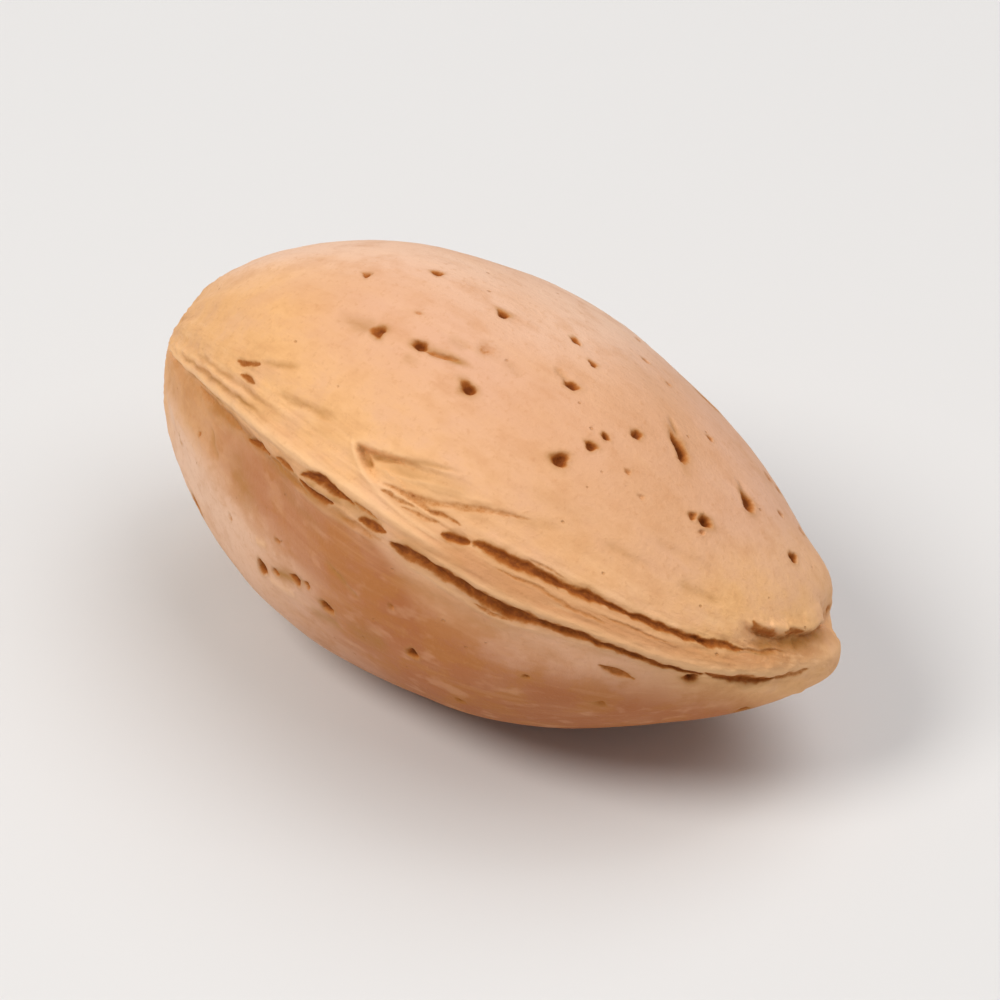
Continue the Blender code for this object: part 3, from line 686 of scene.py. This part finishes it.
def drawSoft(lines, raised, tint, ends, points, normals, wear, fields):  # strands and folds
    for height, strength, places in lines.values():
        index, gap, _, share, width = nearLine(points, normals, places, section["softReach"] * widest(places))
        width = width * (1 + section["softUneven"] * wear[index])
        profile = endsFade(share, ends, ends) * bump(gap, width)
        fields["height"][index] += raised * height * profile
        keepLarger(fields[tint], index, strength * profile)


def liftSteps(points, normals, fields):
    lipAt, lipWidth, lipHeight = section["stepLip"]
    paleAt, paleAndHighlight = section["stepPale"]
    for depth, fade, edge, darkness, peeled, (start, finish), places in steps.values():
        index, _, side, share, _ = nearLine(points, normals, places, section["cutReach"] * fade)
        ends = endsFade(share, start, finish)
        inside = ends * smoothStep(side, -edge, edge) * np.exp(-np.maximum(side, 0) / fade)
        fields["height"][index] -= depth * inside
        fields["height"][index] += lipHeight * depth * ends * bump(side + lipAt * edge, lipWidth * edge)
        # painted shade at the foot of the step's edge
        keepLarger(fields["hollowShadeAndBrown"], index, darkness * ends * bump(side - edge, section["stepShade"] * edge))
        # painted highlight on the step's upper edge
        keepLarger(fields["paleAndHighlight"], index, paleAndHighlight * ends * bump(side + paleAt * edge, paleAt * edge))
        keepLarger(fields["peeled"], index, peeled * inside)
        keepLarger(fields["under"], index, -peeled * inside)


def pressPits(points, pitList, fields):
    wallStart, wallEnd, deep = pits["bowl"]
    rimAt, rimWidth, rimHeight = pits["rim"]
    haloAt, haloWidth, halo = pits["halo"]
    shade, deepShade = pits["shade"]
    shallow = pits["shallowEnd"]
    for index, (x, degrees, length, width, depth, turn, deepEnd) in enumerate(pitList):
        centre = placeAt(x, degrees)
        normal = outward(np.array(x / halfLength), np.array(math.radians(degrees)))
        ahead = placeAt(x + 0.1, degrees) - centre
        along = np.array(Matrix.Rotation(turn, 3, Vector(normal)) @ Vector(ahead).normalized())
        across = np.cross(normal, along)
        near = np.flatnonzero(np.linalg.norm(points - centre, axis=1) < 1.3 * length)
        forward = ((points[near] - centre) @ along) / (length / 2)
        sideways = ((points[near] - centre) @ across) / (width / 2)
        pointed = 1 + pits["point"] * np.clip(-deepEnd * forward, -0.6, 1.2)
        way = np.arctan2(sideways, forward)
        uneven = 1 + pits["wobble"] * (np.sin(3 * way + index) + 0.6 * np.sin(5 * way + 2.3 * index))
        radius = np.hypot(forward, sideways * pointed) * uneven
        deeper = smoothStep(deepEnd * forward, *pits["deepStart"])
        bowl = (1 - smoothStep(radius, wallStart, wallEnd)) * (shallow + (1 - shallow) * deeper)
        strength = min(1.0, depth / pits["fullShade"])
        inside = 1 - smoothStep(radius, *pits["inside"])
        fields["height"][near] += depth * (rimHeight * bump(radius - rimAt, rimWidth) - deep * bowl)
        # brown with painted shade inside the pit, darker at its deep end
        keepLarger(fields["hollowShadeAndBrown"], near, strength * (shade + deepShade * deeper) * inside)
        keepLarger(fields["stainAndShade"], near, strength * halo * bump(radius - haloAt, haloWidth))


def ballPlaces(ball):  # (u, angle) of every corner of the ball
    spots = np.array([vertex.co for vertex in ball.verts])
    spots /= np.linalg.norm(spots, axis=1, keepdims=True)
    return np.clip(spots[:, 2], -1, 1), np.arctan2(spots[:, 1], spots[:, 0])


def spotTree(spots):
    tree = kdtree.KDTree(len(spots))
    for index, spot in enumerate(spots):
        tree.insert(spot, index)
    tree.balance()
    return tree


def detailTrees(pitList):  # (finest edge, how far round it, tree of spots) for each kind of detail
    def alongLines(lines):
        return spotTree(np.concatenate([lineOf(places)[0] for *_, places in lines]))

    keelCuts = [line for name, line in cuts.items() if not name.startswith("back")]
    backCuts = [line for name, line in cuts.items() if name.startswith("back")]
    narrowFolds = [line for line in folds.values() if widest(line[-1]) < mesh["narrowFold"]]
    band = [placeAt(x, degrees) for x in np.arange(*mesh["bandAlong"]) for degrees in mesh["bandRound"]]
    unseen = pits["pinholeRound"][0]  # degrees round, where the side that the photograph shows ends
    return (
        (0.052, 0.20, alongLines(keelCuts)),
        (0.075, 0.24, alongLines(strands.values())),
        (0.060, 0.20, alongLines(steps.values())),
        (0.090, 0.30, alongLines(backCuts)),
        (0.120, 0.30, alongLines(narrowFolds)),
        (0.057, 0.40, spotTree([placeAt(*pit[:2]) for pit in pitList if pit[1] < unseen])),
        (0.110, 0.46, spotTree([placeAt(*pit[:2]) for pit in pitList if pit[1] >= unseen])),
        (0.100, 0.40, spotTree(band)),
        (0.078, 2.6, spotTree([placeAt(halfLength, 0)])),
        (0.120, 2.4, spotTree([placeAt(-halfLength, 0)])),
    )


def wantedEdge(points, trees):
    wanted = np.full(len(points), mesh["farAway"])
    for finest, reach, tree in trees:
        gaps = np.array([tree.find(point)[2] for point in points])
        wanted = np.minimum(wanted, finest + mesh["growth"] * np.maximum(0.0, gaps - reach))
    return wanted


def fineBall(pitList):
    trees = detailTrees(pitList)
    ball = bmesh.new()
    bmesh.ops.create_icosphere(ball, subdivisions=mesh["ballDivisions"], radius=1.0)
    for _ in range(mesh["rounds"]):
        points = bodyPoint(*ballPlaces(ball))
        wanted = wantedEdge(points, trees)
        ball.verts.index_update()
        ball.edges.ensure_lookup_table()
        ends = np.array([[vertex.index for vertex in edge.verts] for edge in ball.edges])
        lengths = np.linalg.norm(points[ends[:, 0]] - points[ends[:, 1]], axis=1)
        long = np.flatnonzero(lengths > mesh["tooLong"] * wanted[ends].mean(axis=1))
        edges = [ball.edges[index] for index in long]
        bmesh.ops.subdivide_edges(ball, edges=edges, cuts=1, use_grid_fill=True)
        bmesh.ops.triangulate(ball, faces=ball.faces)
        print("fine ball:", len(ball.faces), "triangles")
    return ball


def roundTheEdges(u, angle):  # mm round from the keel and from the back edge, and from the long axis
    fullness = fullnessAt(u)
    edgeRadius = form["upperCheek"] * (1 - form["keelLens"])
    fromKeel = np.where(np.abs(angle) < math.pi / 2, edgeRadius * fullness * angle, mesh["farAway"])
    fromBack = form["upperCheek"] * fullness * (math.pi - np.abs(angle))
    return fromKeel, fromBack, form["meanHalfWidth"] * fullness


# Where colours start and end: mm along, mm round from the keel, or radians round, and their share
tints = {
    "front": (1.15, 1.55),  # radians, where the keel's side gives way to the rest
    "offEnds": (0.20, 0.55),  # how full the body is
    "straw": (2.6, 3.2),  # mm round: the middle and the spread
    "strawFade": (-4.0, 8.0, 0.4),
    "strawStem": (6.0, 15.0, 1.0),
    "strawTip": (12.0, 16.5, 0.8),
    "rimRound": (0.36, 0.66),  # radians down, the lower cheek's rim, made paler with painted rim light
    "rimFoot": (1.5, 2.2),
    "rimAlong": (-7.0, 1.0),
    "rimShare": 0.95,
    "brownStart": 0.3,  # mm round, the brown and painted shade of the lower cheek
    "brownReach": 0.7,  # mm over which it sets in
    "brownReachMore": (0.0, 5.0, 4.2),
    "brownSide": 1.5,
    "brownFoot": (1.9, 2.6),
    "brownLeast": 0.38,
    "brownMore": ((-14.0, -6.0, 0.44), (-4.0, 8.0, 0.33)),
    "bandLower": (0.2, 0.7),  # mm up from its edge
    "bandUpper": (-0.2, 0.3),
    "bandAlong": (0.0, 5.0),
    "nearBand": (1.1, 1.8),
    "highRound": (0.95, 1.70),  # radians up, the upper cheek's back, paler skin with a painted highlight of light grazing it
    "highBack": (2.5, math.pi),
    "highSooner": (4.0, 12.0, 0.25),
    "highFade": (1.0, 8.0, 0.8),
}


def partOf(value, name):
    start, end, share = tints[name]
    return share * smoothStep(value, start, end)


def bumpAt(value, name):
    middle, spread = tints[name]
    return bump(value - middle, spread)


def tintFields(x, angle, fromKeel):  # where the skin is straw coloured and fibrous, where the lower cheek is browned and darkened with painted shade, and where it is paler with painted highlight and painted rim light
    front = 1 - smoothStep(np.abs(angle), *tints["front"])
    offEnds = smoothStep(fullnessAt(x / halfLength), *tints["offEnds"])
    warm = front * bumpAt(fromKeel, "straw") * (1 - partOf(x, "strawFade")) + partOf(-x, "strawStem")

    below = np.maximum(0.0, -angle)
    # the lower cheek's rim, made paler as painted rim light
    rim = smoothStep(below, *tints["rimRound"]) * (1 - smoothStep(x, *tints["rimAlong"]))
    reach = tints["brownReach"] + partOf(x, "brownReachMore")
    # the lower cheek: browner skin, darkened further as painted shade
    start = smoothStep((tints["brownStart"] - fromKeel) / reach, 0.0, 1.0)
    under = np.where(below < tints["brownSide"], start, 1.0) * (1 - smoothStep(below, *tints["brownFoot"]))
    brown = tints["brownLeast"] + sum(share * smoothStep(x, *ends) for *ends, share in tints["brownMore"])

    fromLower = fromKeel - edgeLine(x, keel["lowerEdge"])
    fromUpper = fromKeel - edgeLine(x, keel["upperEdge"])
    band = smoothStep(fromLower, *tints["bandLower"]) * (1 - smoothStep(fromUpper, *tints["bandUpper"]))

    # painted highlight of grazing light on the upper cheek's back, and painted rim light on the lower cheek's
    # rim, over paler skin
    upper = smoothStep(angle + partOf(-x, "highSooner"), *tints["highRound"])
    high = np.where(angle > 0, upper, smoothStep(-angle, *tints["highBack"])) * (1 - partOf(x, "highFade"))
    return {
        "warm": warm + partOf(x, "strawTip"),
        "nearBand": front * bumpAt(fromKeel, "nearBand"),
        "band": front * band * smoothStep(x, *tints["bandAlong"]),
        "under": under * (1 - tints["rimShare"] * rim) * brown * offEnds,
        "high": offEnds * np.maximum(high, rim * (1 - smoothStep(below, *tints["rimFoot"]))),
    }


def shellSurface(u, angle, pitList):  # every corner's place, and what its material needs to know
    smooth = bodyPoint(u, angle)
    normals = outward(u, angle)
    x = halfLength * u
    fromKeel, fromBack, fromAxis = roundTheEdges(u, angle)
    radius = form["meanHalfWidth"] * np.sqrt(fullnessAt(u))
    rolled = np.stack([x, radius * np.cos(angle), radius * np.sin(angle)], axis=1)
    wear, dimples, puckers = (ripple(smooth, *skin[name]) for name in ("wear", "dimples", "puckers"))
    fibres = ripple(rolled, *skin["fibres"])
    stray = skin["strayHeight"] * wander(smooth, *skin["stray"])
    strayed, calm = smooth + stray, smooth + skin["calmShare"] * stray

    fields = {name: np.zeros(len(u)) for name in ("height", "hollowShadeAndBrown", "paleAndHighlight", "stainAndShade", "peeled")}
    fields.update(tintFields(x, angle, fromKeel))
    carveCuts(strayed, normals, wear, fields)
    drawSoft(strands, 1, "paleAndHighlight", section["strandEnds"], calm, normals, wear, fields)
    drawSoft(folds, -1, "stainAndShade", section["foldEnds"], strayed, normals, wear, fields)
    liftSteps(strayed, normals, fields)
    pressPits(strayed, pitList, fields)

    stemHeight, stemOpen = stemRelief(x, angle, fromAxis, wear)
    backHeight, backBrown = backRelief(x, fromBack, wear)
    quiet = smoothStep(fullnessAt(u), *skin["quietEnds"])
    height = fields.pop("height") + swellRelief(u, angle) + stemHeight + backHeight
    height = height + keelRelief(x, fromKeel, fromAxis, fibres) + tipRelief(x, smooth)
    height = height + quiet * (skin["dimpleHeight"] * dimples + skin["puckerHeight"] * puckers)
    points = smooth + normals * height[:, None]
    points[:, 0] = np.minimum(points[:, 0], form["tipEnd"])

    # painted shade in the open stem scar
    keepLarger(fields["hollowShadeAndBrown"], slice(None), stem["scarShade"] * stemOpen)
    keepLarger(fields["stainAndShade"], slice(None), backBrown)
    fields = {name: np.clip(values, 0, 1) for name, values in fields.items()}
    fields["rolled"] = rolled * mm
    return points, fields


def addObject(name, data):
    made = bpy.data.objects.new(name, data)
    bpy.context.scene.collection.objects.link(made)
    return made


def makeShell():
    pitList = allPits()
    ball = fineBall(pitList)
    u, angle = ballPlaces(ball)
    points, fields = shellSurface(u, angle, pitList)
    for vertex, point in zip(ball.verts, points):
        vertex.co = point
    ball.transform(restingTurn())
    bmesh.ops.recalc_face_normals(ball, faces=ball.faces)
    print("shell shaped")

    low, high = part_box("almond_shell")  # the place comes from the solid
    heights = np.array([vertex.co for vertex in ball.verts])
    middle = (heights.min(axis=0) + heights.max(axis=0)) / 2
    lowest = heights[:, 2].min() + form["flatDepth"]
    centre = (low + high) / 2 / mm
    ball.transform(Matrix.Translation((centre.x - middle[0], centre.y - middle[1], low.z / mm - lowest)))
    for vertex in ball.verts:
        vertex.co.z = max(vertex.co.z, 0.0)  # the flat resting spot
    ball.transform(Matrix.Scale(mm, 4))

    data = bpy.data.meshes.new("almond")
    ball.to_mesh(data)
    ball.free()
    for name, values in fields.items():
        kind, key = ("FLOAT_VECTOR", "vector") if values.ndim > 1 else ("FLOAT", "value")
        data.attributes.new(name, kind, "POINT").data.foreach_set(key, values.astype(np.float32).ravel())
    data.shade_smooth()
    return addObject("almond", data)


class Wire:  # one output socket, so that shader maths reads as plain sums
    def __init__(self, recipe, socket):
        self.recipe = recipe
        self.socket = socket

    def sum(self, operation, first, second):
        return self.recipe.node("ShaderNodeMath", {"operation": operation}, {0: first, 1: second})

    def __add__(self, other):
        return self.sum("ADD", self, other)

    def __sub__(self, other):
        return self.sum("SUBTRACT", self, other)

    def __rsub__(self, other):
        return self.sum("SUBTRACT", other, self)

    def __mul__(self, other):
        return self.sum("MULTIPLY", self, other)

    __radd__ = __add__
    __rmul__ = __mul__

    def between(self, low, high):  # 0 below low, 1 above high, smooth on the way
        sockets = {"Value": self, "From Min": low, "From Max": high}
        return self.recipe.node("ShaderNodeMapRange", {"interpolation_type": "SMOOTHSTEP"}, sockets)


class Recipe:  # the nodes of one material
    def __init__(self, name):
        self.material = bpy.data.materials.new(name)
        self.material.use_nodes = True
        self.tree = self.material.node_tree
        self.shader = self.tree.nodes["Principled BSDF"]

    def node(self, kind, settings=None, sockets=None, output=0):
        made = self.tree.nodes.new(kind)
        for key, value in (settings or {}).items():
            setattr(made, key, value)
        self.feed(made, sockets or {})
        return Wire(self, made.outputs[output])

    def feed(self, made, sockets):
        for key, value in sockets.items():
            if isinstance(value, Wire):
                self.tree.links.new(value.socket, made.inputs[key])
            else:
                made.inputs[key].default_value = value

    def colours(self, share, first, second):
        return self.node("ShaderNodeMix", {"data_type": "RGBA"}, {0: share, 6: first, 7: second}, 2)

    def field(self, name, output="Fac"):
        return self.node("ShaderNodeAttribute", {"attribute_name": name}, output=output)

    def scaled(self, place, size, longer):  # the place in units of size
        scale = (1 / (size * longer), 1 / size, 1 / size)
        return self.node("ShaderNodeMapping", {}, {"Vector": place, "Scale": scale})

    def noise(self, place, size, longer, detail, roughness):
        spot = self.scaled(place, size, longer)
        sockets = {"Vector": spot, "Scale": 1.0, "Detail": detail, "Roughness": roughness}
        return self.node("ShaderNodeTexNoise", {}, sockets)

    def dots(self, place, size, longer, radius, share, edge):  # round dots in a share of the cells
        cells = {"Vector": self.scaled(place, size, longer), "Scale": 1.0}
        distance = self.node("ShaderNodeTexVoronoi", {"feature": "F1"}, cells, "Distance")
        chance = self.node("ShaderNodeTexVoronoi", {"feature": "F1"}, cells, "Color")
        chosen = self.node("ShaderNodeSeparateColor", {}, {"Color": chance}, "Red")
        inside = 1 - distance.between(edge * radius / size, radius / size)
        return inside * chosen.between(1 - share, 1.02 - share)


# Colours of the shell, linear, and how its finish varies
finish = {
    "peach": (0.712, 0.378, 0.203, 1),
    "pink": (0.730, 0.408, 0.260, 1),
    "straw": (0.845, 0.470, 0.200, 1),
    # paler skin, with painted highlight and painted rim light
    "paleLitLilac": (0.840, 0.550, 0.385, 1),
    "tan": (0.580, 0.255, 0.095, 1),
    # the lower cheek's brown, darkened as painted shade
    "shadedRust": (0.440, 0.140, 0.040, 1),
    "olive": (0.430, 0.190, 0.040, 1),
    # cream: pale fibre, and the painted highlight on raised edges
    "cream": (0.930, 0.580, 0.310, 1),
    # bark, brown and deep: brown tissue in hollows, with painted shade over it
    "bark": (0.500, 0.190, 0.042, 1),
    "brown": (0.370, 0.104, 0.012, 1),
    "deep": (0.220, 0.052, 0.006, 1),
    # Noises: size in metres, how much longer along the nut, detail, roughness
    "patches": (0.0062, 1.6, 3, 0.5),
    "mottle": (0.0017, 1.4, 4, 0.6),
    "blotches": (0.00085, 1.7, 2, 0.5),
    "specks": (0.00030, 1, 3, 0.65),
    "streaks": (0.00075, 9, 3, 0.55),
    "fibres": (0.00018, 14, 2, 0.6),
    "pores": (0.00085, 1.4, 0.00009, 0.30, 0.4),  # cell, longer, radius, share of the cells, sharpness
    "roughness": (0.58, 0.76),
    "sheen": 0.25,
    "bumpHeight": 0.00006,
    "bumpStrength": 0.8,
}


def shellMaterial():
    recipe = Recipe("almond_shell_fine")
    place = recipe.node("ShaderNodeTexCoord", output="Object")
    rolled = recipe.field("rolled", "Vector")
    hollowShadeAndBrown, paleAndHighlight, stainAndShade, peeled = map(recipe.field, ("hollowShadeAndBrown", "paleAndHighlight", "stainAndShade", "peeled"))
    warm, under, nearBand, band, high = map(recipe.field, ("warm", "under", "nearBand", "band", "high"))

    patches, mottle, blotches, specks = (
        recipe.noise(place, *finish[name]) for name in ("patches", "mottle", "blotches", "specks")
    )
    streaks, fibres = (recipe.noise(rolled, *finish[name]) for name in ("streaks", "fibres"))
    pores = recipe.dots(place, *finish["pores"])
    hollowShadeAndBrown = hollowShadeAndBrown + (specks - 0.5) * 0.7 * hollowShadeAndBrown.between(0.02, 0.25)

    colour = recipe.colours(patches.between(0.35, 0.65), finish["pink"], finish["peach"])
    layers = (  # the share that each colour covers, from the lowest coat to the topmost
        (warm * (0.55 + 0.45 * mottle.between(0.30, 0.60)), "straw"),
        # paler skin with a painted highlight at the upper cheek's back, and painted rim light on the lower
        # cheek's rim
        (high * (0.60 + 0.35 * patches.between(0.60, 0.40)), "paleLitLilac"),
        (mottle.between(0.48, 0.70) * (0.28 + 0.10 * under), "tan"),
        (blotches.between(0.50, 0.72) * (0.14 + 0.32 * under), "tan"),
        (patches.between(0.55, 0.72) * 0.10, "tan"),
        # the lower cheek: brown with painted shade
        (under * (0.55 + 0.40 * patches.between(0.35, 0.6)), "shadedRust"),
        (under * mottle.between(0.46, 0.62) * 0.6, "bark"),
        (under * blotches.between(0.46, 0.28) * 0.40, "peach"),
        (band * 0.72, "tan"),
        (streaks.between(0.52, 0.72) * (0.08 + 0.28 * nearBand), "tan"),
        (streaks.between(0.48, 0.28) * (0.08 + 0.28 * nearBand), "cream"),
        (fibres.between(0.52, 0.75) * (0.07 + 0.12 * nearBand), "tan"),
        (specks.between(0.54, 0.74) * 0.28, "tan"),
        (peeled * 0.7, "straw"),
        # stains and browning; under the ridge and round the cuts, partly painted shade
        (stainAndShade * (0.70 + 0.45 * blotches.between(0.38, 0.60)), "olive"),
        # pale fibre and painted highlight on raised edges
        (paleAndHighlight * 0.60, "cream"),
        (pores * 0.55, "bark"),
        # the hollows' brown with painted shade over it, darkest at the cores
        (hollowShadeAndBrown.between(0.04, 0.65) * 0.9, "bark"),
        (hollowShadeAndBrown.between(0.34, 0.88), "brown"),
        (hollowShadeAndBrown.between(0.82, 1.02) * 0.8, "deep"),
    )
    for share, name in layers:
        colour = recipe.colours(share, colour, finish[name])

    smoothest, roughest = finish["roughness"]
    relief = specks * 0.9 + (fibres * 0.6 + streaks * 0.8) * (0.35 + 0.50 * nearBand) - pores * 0.9
    bumps = {"Strength": finish["bumpStrength"], "Distance": finish["bumpHeight"], "Height": relief}
    recipe.feed(recipe.shader, {
        "Base Color": colour,
        "Roughness": smoothest + (roughest - smoothest) * (mottle * 0.5 + hollowShadeAndBrown.between(0, 0.5)),
        "Normal": recipe.node("ShaderNodeBump", {}, bumps),
        "Metallic": 0.0,
        "Specular IOR Level": finish["sheen"],
    })
    return recipe.material


shell = makeShell()
shell.data.materials.append(shellMaterial())
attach(shell, "root")
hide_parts("almond_shell")
print("almond made:", len(shell.data.polygons), "triangles")


# Floor, light and camera
studio = {
    "floorSize": 3.0,
    "floorColour": (0.72, 0.715, 0.71, 1),
    "floorRoughness": 0.8,
    "world": 0.28,
    "lamps": {  # azimuth from the camera's, elevation, distance, size, power, colour
        "key": (-64, 50, 0.55, 0.26, 1.76, (1, 0.97, 0.93)),
        "fill": (75, 62, 0.6, 0.5, 1.26, (1, 0.97, 0.95)),
        "top": (150, 62, 0.6, 0.5, 1.00, (0.97, 0.97, 1)),
    },
    "azimuth": 35.6,  # the photograph's view of the nut
    "elevation": 35.8,
    "lens": 300.0,
    "clip": (0.1, 20),  # of the camera's distance
    "frameWidth": 0.0444,  # what the picture's width takes in, at the nut
    "aim": (0.0, 0.0, 0.00812),
}


def wayFrom(azimuth, elevation):  # azimuth 0 is in front of the keel
    around, up = math.radians(azimuth), math.radians(elevation)
    return Vector((math.sin(around) * math.cos(up), -math.cos(around) * math.cos(up), math.sin(up)))


def lookFrom(thing, spot, aim):
    thing.location = spot
    thing.rotation_euler = (aim - spot).to_track_quat("-Z", "Y").to_euler()


def makeFloor():
    shape = bmesh.new()
    bmesh.ops.create_grid(shape, x_segments=1, y_segments=1, size=studio["floorSize"] / 2)
    data = bpy.data.meshes.new("floor")
    shape.to_mesh(data)
    shape.free()
    floor = addObject("floor", data)
    recipe = Recipe("floor_paint")
    recipe.feed(recipe.shader, {"Base Color": studio["floorColour"], "Roughness": studio["floorRoughness"]})
    data.materials.append(recipe.material)


def makeLight(name, azimuth, elevation, distance, size, power, colour):
    light = bpy.data.lights.new(name, "AREA")
    light.shape = "DISK"
    light.size = size
    light.energy = power
    light.color = colour
    aim = Vector(studio["aim"])
    lookFrom(addObject(name, light), aim + wayFrom(studio["azimuth"] + azimuth, elevation) * distance, aim)


def makeWorld():
    world = bpy.data.worlds.new("soft_light")
    world.use_nodes = True
    background = world.node_tree.nodes["Background"]
    background.inputs["Color"].default_value = (1, 1, 1, 1)
    background.inputs["Strength"].default_value = studio["world"]
    bpy.context.scene.world = world


def makeCamera():
    data = bpy.data.cameras.new("camera")
    data.lens = studio["lens"]
    camera = addObject("camera", data)
    distance = studio["frameWidth"] * data.lens / data.sensor_width
    aim = Vector(studio["aim"])
    lookFrom(camera, aim + wayFrom(studio["azimuth"], studio["elevation"]) * distance, aim)
    data.clip_start, data.clip_end = (distance * share for share in studio["clip"])
    bpy.context.scene.camera = camera


makeFloor()
for name, values in studio["lamps"].items():
    makeLight(name, *values)
makeWorld()
makeCamera()
bpy.context.scene.view_settings.view_transform = "Standard"
print("studio ready")
